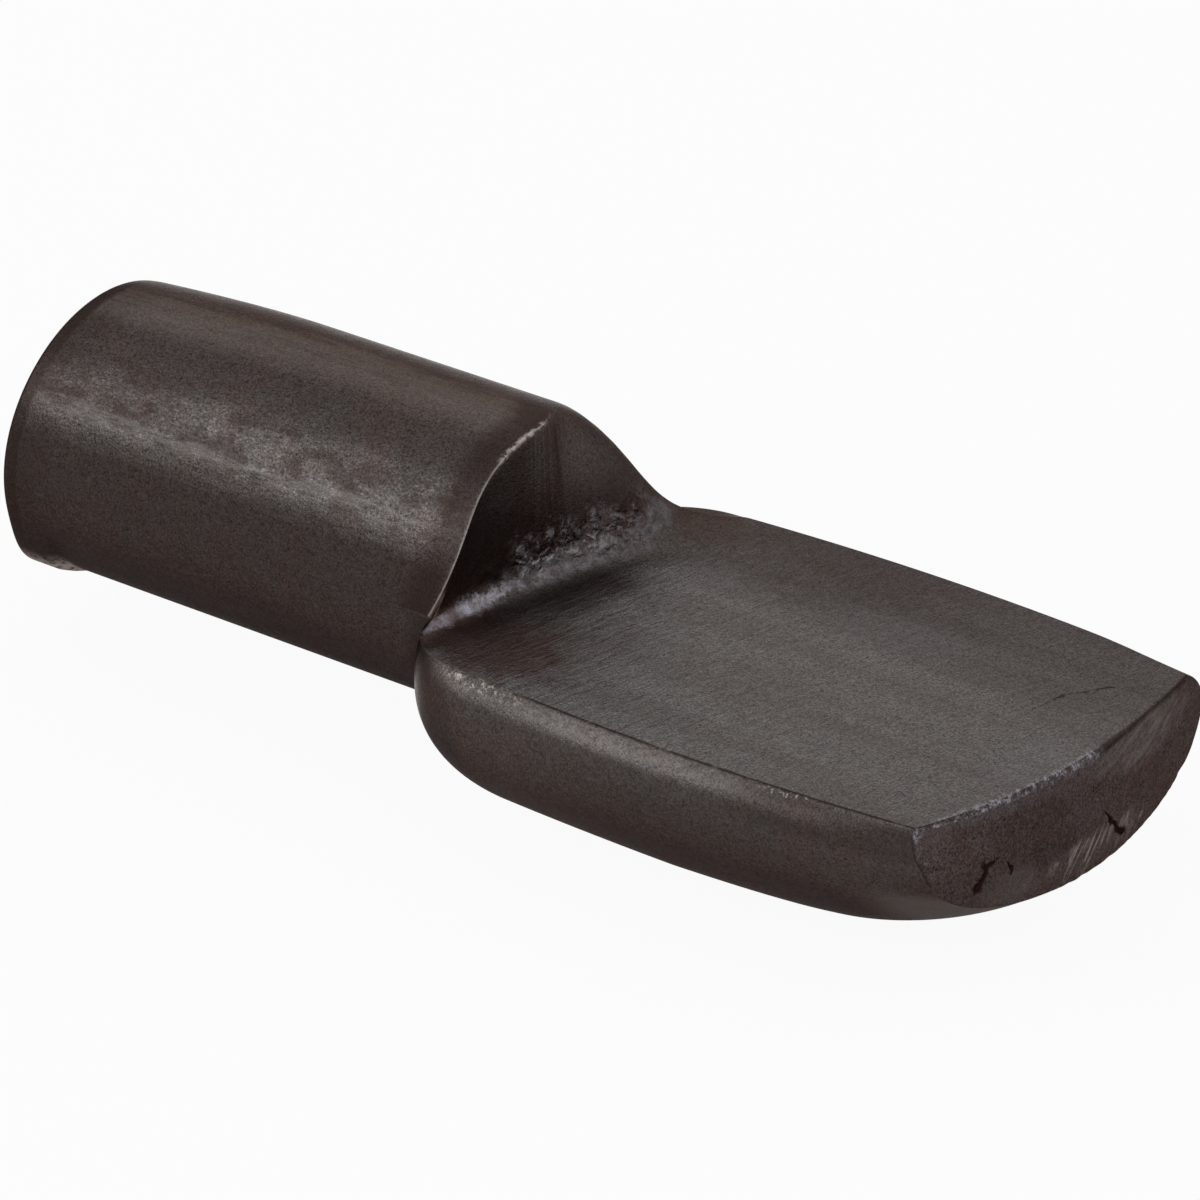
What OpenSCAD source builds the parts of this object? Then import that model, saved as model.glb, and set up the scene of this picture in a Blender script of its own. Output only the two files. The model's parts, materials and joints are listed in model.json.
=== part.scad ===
// Shelf support pin, spoon type: one length of round steel wire. One end stays round
// and plugs into the cabinet side. The other end is pressed flat to carry the shelf.
// Sizes are in millimetres. The origin is on the plug's axis, where the pin starts to
// swell and stops against the cabinet. +X points out of the cabinet, and +Z is up.

/* [Plug] */
// Diameter of the round plug
plug_d = 6.2; // [5.4:0.05:6.8]
// Length of the plug that enters the cabinet side, to the middle of its end
plug_len = 10.35; // [7:0.1:14]
// Lean of the sheared end face, longer below, in degrees
end_lean = 7; // [0:0.5:12]
// Radius of the rolled corner along the top of the sheared end
end_roll = 0.8; // [0.3:0.1:1.8]

/* [Blade] */
// Distance from the cabinet to the tip of the nose
reach = 13.85; // [12:0.1:18]
// Width of the shelf face at its middle, where it is widest
face_w = 9.1; // [8.6:0.1:11]
// Width of the shelf face at its two ends
face_end_w = 8.4; // [7.8:0.1:8.6]
// Distance from the plug's axis down to the shelf face
face_drop = 0.1; // [0:0.05:0.5]
// Thickness from the shelf face to the belly
blade_t = 3.8; // [3.6:0.1:4.6]
// How far each side swells out past the edge of the shelf face
side_swell = 0.35; // [0.1:0.05:0.6]
// Depth of the widest line below the shelf face
swell_depth = 0.6; // [0.3:0.05:1]
// Squareness of the section under the widest line, where 2 is an ellipse
belly_square = 2.3; // [2:0.1:3]

/* [Nose] */
// How far the nose bows out past its corners, seen from above
nose_bow = 0.8; // [0.3:0.1:1.6]
// Lean of the nose face, longer below, in degrees
nose_lean = 14; // [0:0.5:20]
// Thickness at the tip of the nose
nose_t = 2.4; // [1.6:0.05:2.8]
// Length over which the belly rises to the nose
rise_len = 5.5; // [4:0.1:7]
// Squareness of the section at the nose
nose_square = 1.9; // [1.7:0.1:2.4]

/* [Shoulder] */
// How far the punch has drawn the round surface in, beside the shoulder wall
neck_draw = 0.06; // [0.02:0.01:0.15]
// Distance from the cabinet to the foot of the shoulder wall
wall_x = 1.15; // [1:0.05:2]
// Lean of the shoulder wall back towards the plug, in degrees
wall_lean = 6; // [0:0.5:10]
// Radius of the root between the wall and the shelf face
root_r = 0.5; // [0.2:0.05:0.8]
// Distance from the foot of the wall to where the swell reaches full width
swell_run = 1.6; // [1:0.1:2]
// Slope of the line where the swell leaves the plug, further out above, in degrees
swell_lean = 17; // [5:1:25]

/* [Hidden] */

plug_r = plug_d / 2;
face_z = -face_drop;
// The blank that swells into the blade starts just inside the plug's surface
blank_r = 0.98 * plug_r;
// The swell leaves the plug here at the height of the shelf face
swell_x0 = plug_r * sin(swell_lean);
swell_x1 = wall_x + swell_run;
rise_x = reach - rise_len;
// The loft runs past the sheared nose face, which then cuts it
loft_x = reach + blade_t * tan(nose_lean) + 0.3;
// The barrel-shaped plan of the face, about its middle
mid_x = (wall_x + reach) / 2;
barrel = (face_w - face_end_w) / 2 / pow(reach - nose_bow - mid_x, 2);
// Radius and centre of the nose's arc
nose_r = (pow(face_end_w / 2, 2) + pow(nose_bow, 2)) / (2 * nose_bow);
nose_cx = reach - nose_r;
// A size that clears the whole pin
clear = 40;
steel = [0.17, 0.145, 0.135];

// Steps round the section, in degrees for the belly. Over the widest line they are
// spaced by the angle of the face's edge, so that no row of points crosses that edge.
side_steps = [0, 6, 12, 18, 30, 45, 60, 75];
top_steps = [90, 105, 120, 135, 150, 162, 168, 174];
belly_steps = [for (k = [0 : 35]) 180 + k * 5];
section_steps = concat(side_steps, top_steps, belly_steps);
points = len(section_steps);

swell_rings = 10;
body_rings = 18;

function blend(a, b, t) = a + (b - a) * t;
function signed_pow(v, e) = sign(v) * pow(abs(v), e);

// Half-width of the shelf face at x, without the swell of the sides
function face_half(x) = face_w / 2 - barrel * pow(x - mid_x, 2);

// How far the belly has risen at x: 0 under the blade, 1 at the tip of the nose
function rise(x) = max(0, (x - rise_x) / rise_len);

// Thickness from the face to the belly at x
function thickness(x) = blend(nose_t, blade_t, 1 - pow(rise(x), 3));

// Height of the section's upper part, so that it has the face's width at the face
function crown(half) = swell_depth / sqrt(1 - pow(half / (half + side_swell), 2));

// Angle of one step of the section's upper part: the edge of the face is at step 24
function upper_angle(x, step) =
    let (edge = acos(face_half(x) / (face_half(x) + side_swell)))
    step > 90 ? 180 - upper_angle(x, 180 - step) :
    step < 30 ? step / 24 * edge :
    blend(30 / 24 * edge, 90, (step - 30) / 60);

// One point of the section at x, as [y, z]. grown is 0 for the round blank and 1 for
// the finished blade.
function section_point(x, step, grown) =
    let (half = face_half(x))
    let (below = step > 180)
    let (angle = below ? step : upper_angle(x, step))
    let (squareness = below ? blend(belly_square, nose_square, min(1, rise(x))) : 2)
    let (power = 2 / blend(2, squareness, grown))
    let (full_h = below ? thickness(x) - swell_depth : crown(half))
    let (w = blend(blank_r, half + side_swell, grown))
    let (h = blend(blank_r, full_h, grown))
    let (middle = blend(0, face_z - swell_depth, grown))
    [w * signed_pow(cos(angle), power), middle + h * signed_pow(sin(angle), power)];

// The swell grows as a quarter of an ellipse along X, from a start that leans with z
function swell_point(step, turn) =
    let (p = section_point(swell_x1, step, sin(turn)))
    let (start = swell_x0 + (p[1] - face_z) * tan(swell_lean))
    [swell_x1 - (swell_x1 - start) * cos(turn), p[0], p[1]];

function body_point(step, x) =
    let (p = section_point(x, step, 1))
    [x, p[0], p[1]];

// Skin of a loft with closed ends: rings of n points each, count rings in all
function skin(n, count) = concat(
    [[for (k = [0 : n - 1]) k]],
    [for (r = [0 : count - 2], k = [0 : n - 1])
        [r * n + k, (r + 1) * n + k, (r + 1) * n + (k + 1) % n]],
    [for (r = [0 : count - 2], k = [0 : n - 1])
        [r * n + k, (r + 1) * n + (k + 1) % n, r * n + (k + 1) % n]],
    [[for (k = [n - 1 : -1 : 0]) (count - 1) * n + k]]
);

// The swollen, flattened end before the shelf face and the nose are cut
module blade_blank() {
    swell = [for (i = [0 : swell_rings], step = section_steps)
        swell_point(step, 90 * i / swell_rings)];
    body = [for (i = [1 : body_rings], step = section_steps)
        body_point(step, blend(swell_x1, loft_x, i / body_rings))];
    polyhedron(concat(swell, body), skin(points, swell_rings + body_rings + 1), 4);
}

// The round wire, from past its sheared end to inside the blade. It is parallel as far
// as the swell, and from there to the blade it is drawn in by a hair.
module wire() {
    back_x = -plug_len - plug_d;
    front_x = wall_x + root_r;
    rotate([0, 90, 0])
        rotate_extrude($fn = 96)
            polygon([
                [0, back_x],
                [plug_r, back_x],
                [plug_r, 0],
                [plug_r - neck_draw, front_x],
                [0, front_x]
            ]);
}

// A side profile, drawn as x and z, made solid right across the pin
module across() {
    rotate([90, 0, 0])
        linear_extrude(height = clear, center = true)
            children();
}

// Everything that the flat punch takes away: the space over the shelf face, with the
// rounded root at the foot of the shoulder wall
module punch() {
    centre_x = wall_x + root_r * (1 - sin(wall_lean)) / cos(wall_lean);
    centre_z = face_z + root_r;
    past = root_r + 1;
    across()
        difference() {
            polygon([
                [wall_x, face_z],
                [clear, face_z],
                [clear, face_z + clear],
                [wall_x - clear * tan(wall_lean), face_z + clear]
            ]);
            difference() {
                polygon([
                    [centre_x, centre_z],
                    [centre_x - past * cos(wall_lean), centre_z - past * sin(wall_lean)],
                    [wall_x - past, face_z - past],
                    [centre_x, face_z - past]
                ]);
                translate([centre_x, centre_z])
                    circle(r = root_r, $fn = 96);
            }
        }
}

// What the nose shear takes away: all that is past an arc which leans out below
module nose_cut() {
    low = face_z - blade_t - 1;
    spread = (face_z - low) * tan(nose_lean);
    rise_over = clear / 8;
    difference() {
        translate([max(nose_cx, swell_x1), -clear / 2, low])
            cube([clear, clear, face_z - low + rise_over]);
        translate([nose_cx, 0, low])
            cylinder(
                h = face_z - low + rise_over,
                r1 = nose_r + spread,
                r2 = nose_r - rise_over * tan(nose_lean),
                $fn = 128
            );
    }
}

// What the wire shear takes away: all that is past the leaning end face, and the
// rolled corner along its top
module end_cut() {
    centre_x = -plug_len + (end_roll + (plug_r - end_roll) * sin(end_lean)) / cos(end_lean);
    centre_z = plug_r - end_roll;
    steps = 8;
    roll = [
        for (i = [0 : steps])
            let (a = blend(90, 180 - end_lean, i / steps))
            [centre_x + end_roll * cos(a), centre_z + end_roll * sin(a)]
    ];
    across()
        polygon(concat(
            [[centre_x, clear]],
            roll,
            [
                [-plug_len - clear * tan(end_lean), -clear],
                [-plug_len - clear, -clear],
                [-plug_len - clear, clear]
            ]
        ));
}

module shelf_pin() {
    color(steel)
        difference() {
            union() {
                wire();
                difference() {
                    blade_blank();
                    nose_cut();
                }
            }
            punch();
            end_cut();
        }
}

shelf_pin();
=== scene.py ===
"""Looks of a spoon-type shelf support pin: its skin, its finish and a plain studio.

The pin is one piece of round steel wire. Its plug end stays round, and its other end is
pressed flat. Lengths inside the shaping functions are in plug radii, measured from the
origin on the plug's axis; they are turned into metres when the skin is wrapped.
"""

import functools
import json
import math

import bmesh
import bpy
import numpy as np
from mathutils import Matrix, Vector, noise


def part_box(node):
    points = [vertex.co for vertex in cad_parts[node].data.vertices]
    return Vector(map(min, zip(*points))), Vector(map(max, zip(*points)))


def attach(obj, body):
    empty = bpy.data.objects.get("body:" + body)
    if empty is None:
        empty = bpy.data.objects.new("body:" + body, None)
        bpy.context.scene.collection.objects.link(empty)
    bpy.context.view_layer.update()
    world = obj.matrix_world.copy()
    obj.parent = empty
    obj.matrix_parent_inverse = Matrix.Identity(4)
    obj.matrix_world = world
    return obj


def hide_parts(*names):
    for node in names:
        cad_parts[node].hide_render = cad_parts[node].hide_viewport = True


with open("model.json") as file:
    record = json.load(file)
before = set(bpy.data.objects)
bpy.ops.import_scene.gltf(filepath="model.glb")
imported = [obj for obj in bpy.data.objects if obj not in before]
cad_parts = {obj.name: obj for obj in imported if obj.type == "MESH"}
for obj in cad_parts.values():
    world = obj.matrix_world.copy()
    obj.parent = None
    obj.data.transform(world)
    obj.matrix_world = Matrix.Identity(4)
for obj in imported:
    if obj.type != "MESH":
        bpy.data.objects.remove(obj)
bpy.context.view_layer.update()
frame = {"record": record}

bl_info = {
    "name": "Shelf support pin",
    "version": (1, 0, 0),
    "blender": (4, 5, 0),
    "location": "View3D > Sidebar > Shelf pin",
    "description": "Forms and finishes a forged shelf support pin",
    "category": "Object",
}

PIN_NODE = "shelf_pin"
MM = 0.001
# Points closer than this are one point
SAME_PLACE = 1e-8

# ---------------------------------------------------------------- sizes from the frame

mounts = {mount["name"]: mount for mount in frame["record"]["mounts"]}
low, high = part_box(PIN_NODE)
PLUG_R = mounts["plug"]["dims"]["r_mm"] * MM
FACE_Z = mounts["shelf_rest"]["pos_m"][2] / PLUG_R
HALF_WIDE = high.y / PLUG_R
BELLY_Z = low.z / PLUG_R
TIP_X = high.x / PLUG_R
BACK_X = low.x / PLUG_R

# ---------------------------------------------------------------- studio

FLOOR_HALF = 1.5
# How white the floor shows to the rays that see it
FLOOR_SHOWN = 0.94
# Directions in which the lamps stand, and their widths and heights in metres
KEY_TOWARDS, KEY_SIZES = (-0.56, -0.60, 0.57), (0.30, 0.28)
STRIP_TOWARDS, STRIP_SIZES = (-0.56, -0.717, 0.417), (0.34, 0.06)
LAMP_AWAY = 0.45
LAMP_TINT = (0.86, 0.96, 1.0)
CAMERA_LENS, CAMERA_SENSOR, CAMERA_CLIP = 238.6, 36, 0.01
CAMERA_PLACE = Vector((88.40, -108.05, 66.86)) * MM
CAMERA_AIM = Vector((1.615, 1.019, -0.944)) * MM

# ---------------------------------------------------------------- metal

METALLIC = 0.85
SPECULAR_TINT = (0.35, 0.30, 0.28, 1.0)
BUMP_DEPTH = 0.02 * MM


# ---------------------------------------------------------------- settings


class PinShape(bpy.types.PropertyGroup):
    """Sizes of the pin's skin"""

    plug_radius: bpy.props.FloatProperty(
        name="Plug radius",
        description="Radius of the round plug",
        default=PLUG_R,
        unit="LENGTH",
    )
    side_swell: bpy.props.FloatProperty(
        name="Side swell",
        description="How far each side swells out past the shelf face's edge, in plug radii",
        default=0.113,
    )
    swell_depth: bpy.props.FloatProperty(
        name="Swell depth",
        description="Depth of the widest line below the shelf face, in plug radii",
        default=0.194,
    )
    nose_bow: bpy.props.FloatProperty(
        name="Nose bow",
        description="How fast the nose's plan falls back towards its corners",
        default=0.134,
    )
    nose_roll: bpy.props.FloatProperty(
        name="Nose edge",
        description="Radius of the edge round the nose face, in plug radii",
        default=0.03,
    )
    end_lean: bpy.props.FloatProperty(
        name="End lean",
        description="Lean of the sheared end of the plug",
        default=math.radians(7),
        subtype="ANGLE",
    )
    rows_over: bpy.props.IntProperty(
        name="Rows over the top",
        description="Steps of the skin across the top of the pin",
        default=108,
    )
    rows_under: bpy.props.IntProperty(
        name="Rows underneath",
        description="Steps of the skin round the sides and the belly",
        default=148,
    )


class PinFinish(bpy.types.PropertyGroup):
    """Colours of the dark bronze finish, some of which also serve for painted highlights and
    painted shade
    """

    dark: bpy.props.FloatVectorProperty(
        name="Plating",
        description="Dark bronze plating",
        default=(0.0635, 0.0528, 0.0490),
        subtype="COLOR",
    )
    warm: bpy.props.FloatVectorProperty(
        name="Warm patches",
        description="Where the plating is redder",
        default=(0.071, 0.054, 0.049),
        subtype="COLOR",
    )
    cool: bpy.props.FloatVectorProperty(
        name="Cool patches",
        description="Where the plating is greyer",
        default=(0.068, 0.061, 0.0585),
        subtype="COLOR",
    )
    pressed: bpy.props.FloatVectorProperty(
        name="Pressed face",
        description="The smoother plating of the shelf face",
        default=(0.146, 0.138, 0.135),
        subtype="COLOR",
    )
    # Bluish metal; in the root its brightness is a painted highlight as well
    blued_and_sheen: bpy.props.FloatVectorProperty(
        name="Blued metal",
        description="Bluish metal in the root and along the nose",
        default=(0.285, 0.280, 0.315),
        subtype="COLOR",
    )
    sheared: bpy.props.FloatVectorProperty(
        name="Sheared faces",
        description="The rough, redder nose and plug end",
        default=(0.063, 0.0475, 0.0450),
        subtype="COLOR",
    )
    # Painted shade in corners, creases, under the pin and on the wall, and also real dark dirt in
    # cracks and scratches
    shade_and_dirt: bpy.props.FloatVectorProperty(
        name="Shade and dirt",
        description="Dark dirt in corners, creases and cracks",
        default=(0.0205, 0.0118, 0.0097),
        subtype="COLOR",
    )
    stained: bpy.props.FloatVectorProperty(
        name="Stains",
        description="Dark reddish stains on the shelf face",
        default=(0.068, 0.034, 0.027),
        subtype="COLOR",
    )
    # Uncoated metal on rubbed edges, and also the colour of painted highlights on the plug, the
    # burr's lip, the blade's side and the root's facets
    wear_and_sheen: bpy.props.FloatVectorProperty(
        name="Worn metal",
        description="Bare metal on rubbed edges",
        default=(0.42, 0.37, 0.35),
        subtype="COLOR",
    )
    # Fresh metal of the burrs and dents, and a painted highlight at the front end of the root
    bare_and_glint: bpy.props.FloatVectorProperty(
        name="Fresh burr",
        description="Fresh bluish metal of the burr and of small dents",
        default=(0.40, 0.39, 0.46),
        subtype="COLOR",
    )


class PinStudio(bpy.types.PropertyGroup):
    """Floor and lamps"""

    floor: bpy.props.FloatVectorProperty(
        name="Floor",
        description="Colour of the pale floor",
        default=(0.86, 0.86, 0.86),
        subtype="COLOR",
    )
    key_power: bpy.props.FloatProperty(
        name="Key lamp",
        description="Power of the soft lamp at the front left",
        default=0.34,
        unit="POWER",
    )
    strip_power: bpy.props.FloatProperty(
        name="Strip lamp",
        description="Power of the narrow lamp below the key lamp",
        default=0.085,
        unit="POWER",
    )
    room: bpy.props.FloatProperty(
        name="Room light",
        description="Brightness of the light from all round",
        default=0.55,
    )


# ---------------------------------------------------------------- shaping functions


def ease(x, start, end):
    """Smooth step from 0 at start to 1 at end."""
    t = np.clip((x - start) / (end - start), 0, 1)
    return t * t * (3 - 2 * t)


def blend(a, b, t):
    """From a to b as t goes from 0 to 1."""
    return a + (b - a) * t


def signed_power(value, power):
    """A power that keeps the value's sign."""
    return np.sign(value) * np.abs(value) ** power


def bell(x, middle, width):
    """A bump of height 1 round middle."""
    return np.exp(-(((x - middle) / width) ** 2))


def bulge(x, start, end):
    """Quarter of an ellipse: rises steeply from start and levels out at end."""
    t = np.clip((x - start) / (end - start), 0, 1)
    return np.sqrt(np.clip(1 - (1 - t) ** 2, 0, 1))


class Skin:
    """Works out where each point of the pin's skin lies, ring by ring from plug to nose."""

    # Rings over each part. The neck's go up to the crest, over it, down the wall, round
    # the root and on to the face.
    FACE_RINGS = 16
    END_ROLL_RINGS = 8
    PLUG_RINGS = 96
    NECK_RINGS = (10, 7, 26, 14, 12)
    BLADE_RINGS = 118
    BEND_PASSES = 3
    NOSE_ROLL_RINGS = 5
    NOSE_RINGS = 26

    # The ring at which the neck starts, and those from which the marks are measured
    NECK_RING = FACE_RINGS + END_ROLL_RINGS + PLUG_RINGS
    END_RING = FACE_RINGS + END_ROLL_RINGS // 2
    CREST_RING = NECK_RING + NECK_RINGS[0] + NECK_RINGS[1] // 2
    ROOT_RING = NECK_RING + sum(NECK_RINGS[:3]) + NECK_RINGS[3] // 2
    NOSE_RING = NECK_RING + sum(NECK_RINGS) + BLADE_RINGS + NOSE_ROLL_RINGS // 2

    # Blade: its barrel-shaped plan, its rounded start and the squareness of its belly
    PLAN_BARREL = 0.0294
    PLAN_MIDDLE = 2.27
    ROUND_START = 0.235
    ROUND_FULL = 0.72
    ROUND_POWER = 0.95
    BELLY_SQUARE = 2.3

    # Plug's sheared end: how far its top is drawn in, its rolled rim and its burr.
    # Angles are in degrees round the plug's axis.
    DRAWN = 0.046
    DRAWN_START = 1.86
    DRAWN_RUN = 1.6
    DRAWN_POWER = 1.7
    DRAWN_AT = 42
    DRAWN_WIDE = 69
    ROLL_LEAST = 0.04
    ROLL_MORE = 0.011
    ROLL_AT = 100
    ROLL_WIDE = 78
    BURR = 0.061
    BURR_AT = 227
    BURR_WIDE = 16
    BURR_START = 3.10
    BURR_RUN = 0.08

    # Swell: where it leaves the plug, its slope with height, and where it is full
    SWELL_START = 0.248
    SWELL_SLOPE = 0.28
    SWELL_FULL = 0.96
    SWELL_FULL_EDGE = 0.73
    SWELL_EDGE_WIDE = 0.06
    SWELL_POWER = 1.1
    SECTION_START = 0.3

    # Crest: its place where it is level, its fall to the front and to the top, its step
    # back, its dip and its way forward again at the rear
    CREST = 0.425
    CREST_LEVEL_AT = 140
    CREST_FALL = 0.2
    CREST_FALL_RUN = 40
    CREST_FALL_POWER = 2.2
    CREST_TOP = 0.042
    CREST_TOP_RUN = 50
    CREST_TOP_POWER = 1.5
    CREST_BACK = 0.12
    CREST_BACK_AT = 96
    CREST_BACK_WIDE = 24
    CREST_DIP = 0.050
    CREST_DIP_AT = 125
    CREST_DIP_WIDE = 26
    CREST_REAR = 0.285
    CREST_REAR_FROM = 67.5
    CREST_REAR_POWER = 1.47

    # Neck: its ends, the foot of the wall, and how far the crest and the root are rounded
    NECK_START = -0.10
    NECK_END = 0.95
    NECK_EDGE_SHARE = 0.10
    NECK_FALL_POWER = 2.5
    FOOT = 0.40
    FOOT_TWIST = 0.114
    FOOT_REAR = 0.198
    FOOT_REAR_FULL = 0.7
    FOOT_PAST_CREST = 0.06
    ROLLED = 0.242
    ROLLED_LEAST = 0.014
    ROLLED_FROM = 0.05
    ROLLED_FULL = 0.75
    ROOT = 0.16
    ROOT_REAR = 0.088
    ROOT_REAR_FROM = -0.2
    ROOT_REAR_FULL = 0.9
    # Shares of the wall's slope, and of the way up to the crest, that the corners may take
    ROLLED_SHARE = 0.42
    ROOT_SHARE = 0.5
    LEVEL_SHARE = 0.8
    LEVEL_LEAST = 0.04

    # Nose: how far behind the tip its face starts, its lean, its bulge from top to bottom,
    # and how much of its bow it has at the rear
    NOSE_BACK = 0.159
    NOSE_LEAN = 0.169
    NOSE_BARREL = 0.219
    NOSE_EVEN = 0.637
    # Depth of the middle of its rings, and how near its corners they turn towards it
    NOSE_MIDDLE = 0.36
    NOSE_CORNER = 0.04

    # How the sides and the belly change on their way to the nose
    NEAR_NOSE = (3.5, 4.45)
    NOSE_THICK = 0.793
    NOSE_SQUARE = 1.73
    NOSE_SQUARE_FRONT = 1.98
    NOSE_FRONT = 0.532
    NOSE_REAR = 0.366
    NOSE_SKEW = 0.084
    NOSE_SKEW_DEPTH = 0.3
    NOSE_TUCK = 0.045
    NOSE_DEPTH = -0.013
    RISE_RUN = 2.18
    RISE_POWER = 4.18

    # Given as the distance to a mark where the skin is nowhere near it, in millimetres
    FAR = 9.0
    # Relief is left out where its mask is under this
    RELIEF_LEAST = 0.02

    def __init__(self, shape):
        self.shape = shape
        self.over, self.under = shape.rows_over, shape.rows_under
        self.face_half = HALF_WIDE - shape.side_swell
        self.nose_x = TIP_X - self.NOSE_BACK
        self.end_x = BACK_X + math.tan(shape.end_lean)
        self.lane = np.pi * np.arange(self.over + 1) / self.over
        self.across = np.cos(self.lane)
        self.up = np.sin(self.lane)
        self.side = np.arange(self.under + 1) / self.under
        self.turn = np.r_[self.lane, (np.pi * (1 + self.side))[1:-1]]

    # -- plan and section of the blade

    def half(self, x):
        """Half-width of the shelf face, a flat barrel in plan."""
        return self.face_half - self.PLAN_BARREL * (x - self.PLAN_MIDDLE) ** 2

    def neck_half(self, x):
        """The same, with the rounded start at the neck."""
        grown = bulge(x, self.ROUND_START, self.ROUND_FULL) ** self.ROUND_POWER
        return 1 + (self.half(x) - 1) * grown

    def rise(self, x):
        """How far the belly has risen towards the nose."""
        return np.clip((x - self.nose_x + self.RISE_RUN) / self.RISE_RUN, 0, 1.2)

    def section(self, x, side):
        """Side and belly of the blade: side runs from the face's front edge to its rear edge."""
        near_nose = ease(x, *self.NEAR_NOSE)
        half = self.half(x)
        tuck = self.NOSE_TUCK * near_nose
        deep = self.shape.swell_depth * (1 + self.NOSE_DEPTH * near_nose)
        front = self.shape.side_swell * (1 - self.NOSE_FRONT * near_nose)
        rear = self.shape.side_swell * (1 + self.NOSE_REAR * near_nose)
        start = np.pi - np.arccos(half / (half + front))
        stop = 2 * np.pi + np.arccos((half - tuck) / (half - tuck + rear))
        angle = blend(start, stop, side)
        edge = half - np.where(np.cos(angle) < 0, 0, tuck)
        wide = edge + np.where(np.cos(angle) < 0, front, rear)
        above = np.sin(angle) > 0
        crown = deep / np.sqrt(1 - (edge / wide) ** 2)
        thick = blend(self.NOSE_THICK, FACE_Z - BELLY_Z, 1 - self.rise(x) ** self.RISE_POWER)
        rearward = np.clip(0.5 + 0.5 * np.cos(angle), 0, 1)
        square = blend(self.NOSE_SQUARE_FRONT, self.NOSE_SQUARE, rearward)
        square = blend(self.BELLY_SQUARE, square, np.clip(self.rise(x), 0, 1))
        power = np.where(above, 1.0, 2 / square)
        tall = np.where(above, crown, thick - deep)
        y = wide * signed_power(np.cos(angle), power)
        z = FACE_Z - deep + tall * signed_power(np.sin(angle), power)
        skew = self.NOSE_SKEW * near_nose * np.clip((FACE_Z - z) / self.NOSE_SKEW_DEPTH, 0, 1)
        return y + skew, z

    # -- plug

    def plug_radius(self, x, turn):
        """Radius of the plug: drawn in along the top of its sheared end, with a burr below."""
        degrees = np.degrees(turn) % 360
        from_drawn = (degrees - self.DRAWN_AT + 180) % 360 - 180
        drawn = self.DRAWN * bell(from_drawn, 0, self.DRAWN_WIDE)
        drawn = drawn * np.clip(-self.DRAWN_START - x, 0, self.DRAWN_RUN) ** self.DRAWN_POWER
        burr = self.BURR * bell(degrees, self.BURR_AT, self.BURR_WIDE)
        return 1 - drawn + burr * ease(-x, self.BURR_START, self.BURR_START + self.BURR_RUN)

    def end_surface(self, z):
        """The plug's leaning end face."""
        return self.end_x + math.tan(self.shape.end_lean) * z

    def end_roll(self, turn):
        """Radius of the rim round the sheared end."""
        degrees = np.degrees(turn) % 360
        return self.ROLL_LEAST + self.ROLL_MORE * bell(degrees, self.ROLL_AT, self.ROLL_WIDE)

    # -- shoulder

    def crest_x(self, lane):
        """Where the crest stands over each lane: forward at the front, drawn back at the rear."""
        degrees = np.degrees(lane)
        to_front = np.clip((degrees - self.CREST_LEVEL_AT) / self.CREST_FALL_RUN, 0, 1)
        to_top = np.clip((self.CREST_LEVEL_AT - degrees) / self.CREST_TOP_RUN, 0, 3)
        x = self.CREST - self.CREST_FALL * to_front**self.CREST_FALL_POWER
        x = x - self.CREST_TOP * to_top**self.CREST_TOP_POWER
        x = x - self.CREST_BACK * ease(self.CREST_BACK_AT - degrees, 0, self.CREST_BACK_WIDE)
        x = x - self.CREST_DIP * bell(degrees, self.CREST_DIP_AT, self.CREST_DIP_WIDE)
        rear = np.clip((self.CREST_REAR_FROM - degrees) / self.CREST_REAR_FROM, 0, 1)
        return x + self.CREST_REAR * rear**self.CREST_REAR_POWER

    def lane_path(self, lane):
        """One lane's way over the crest, down the wall and out on to the face, as x and z."""
        across = math.cos(lane)
        crest = np.array([float(self.crest_x(lane)), max(math.sin(lane), 0.0)])
        foot_x = self.FOOT + self.FOOT_TWIST * across
        foot_x += self.FOOT_REAR * float(ease(across, 0.0, self.FOOT_REAR_FULL))
        if across > 0:
            foot_x = max(foot_x, crest[0] + self.FOOT_PAST_CREST)
        foot = np.array([foot_x, FACE_Z])
        start = np.array([self.NECK_START, crest[1]])
        stop = np.array([self.NECK_END, FACE_Z])
        drop = np.linalg.norm(foot - crest)
        down = (foot - crest) / drop
        rolled = self.ROLLED * float(ease(across, self.ROLLED_FROM, self.ROLLED_FULL))
        before_crest = self.LEVEL_SHARE * (crest[0] - self.NECK_START)
        rolled = min(self.ROLLED_LEAST + rolled, self.ROLLED_SHARE * drop, before_crest)
        root = self.ROOT_REAR * float(ease(across, self.ROOT_REAR_FROM, self.ROOT_REAR_FULL))
        past_foot = self.NECK_END - self.LEVEL_LEAST - foot_x
        root = min(self.ROOT + root, self.ROOT_SHARE * drop, past_foot)
        ahead = np.array([1.0, 0.0])
        corners = [
            start,
            crest - ahead * rolled,
            crest + down * rolled,
            foot - down * root,
            foot + ahead * root,
            stop,
        ]
        bends = {1: crest, 3: foot}
        points = [start[None]]
        for step, rings in enumerate(self.NECK_RINGS):
            t = (np.arange(1, rings + 1) / rings)[:, None]
            a, b = corners[step], corners[step + 1]
            if step in bends:
                points.append((1 - t) ** 2 * a + 2 * t * (1 - t) * bends[step] + t * t * b)
            else:
                points.append(a + (b - a) * t)
        return np.concatenate(points)

    # -- nose

    def nose_surface(self, y, z):
        """The sheared nose face: bowed in plan, and leaning out below."""
        depth = np.clip(FACE_Z - z, 0, 2)
        bow = self.shape.nose_bow * np.where(y > 0, self.NOSE_EVEN, 1.0)
        bowed = self.nose_x - bow * y * y
        return bowed + self.NOSE_LEAN * depth - self.NOSE_BARREL * depth**2

    # -- rings

    def loop(self, over, under):
        """Joins a ring's points over the top and underneath into one loop."""
        return np.concatenate([over, under[1:-1]])

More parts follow.
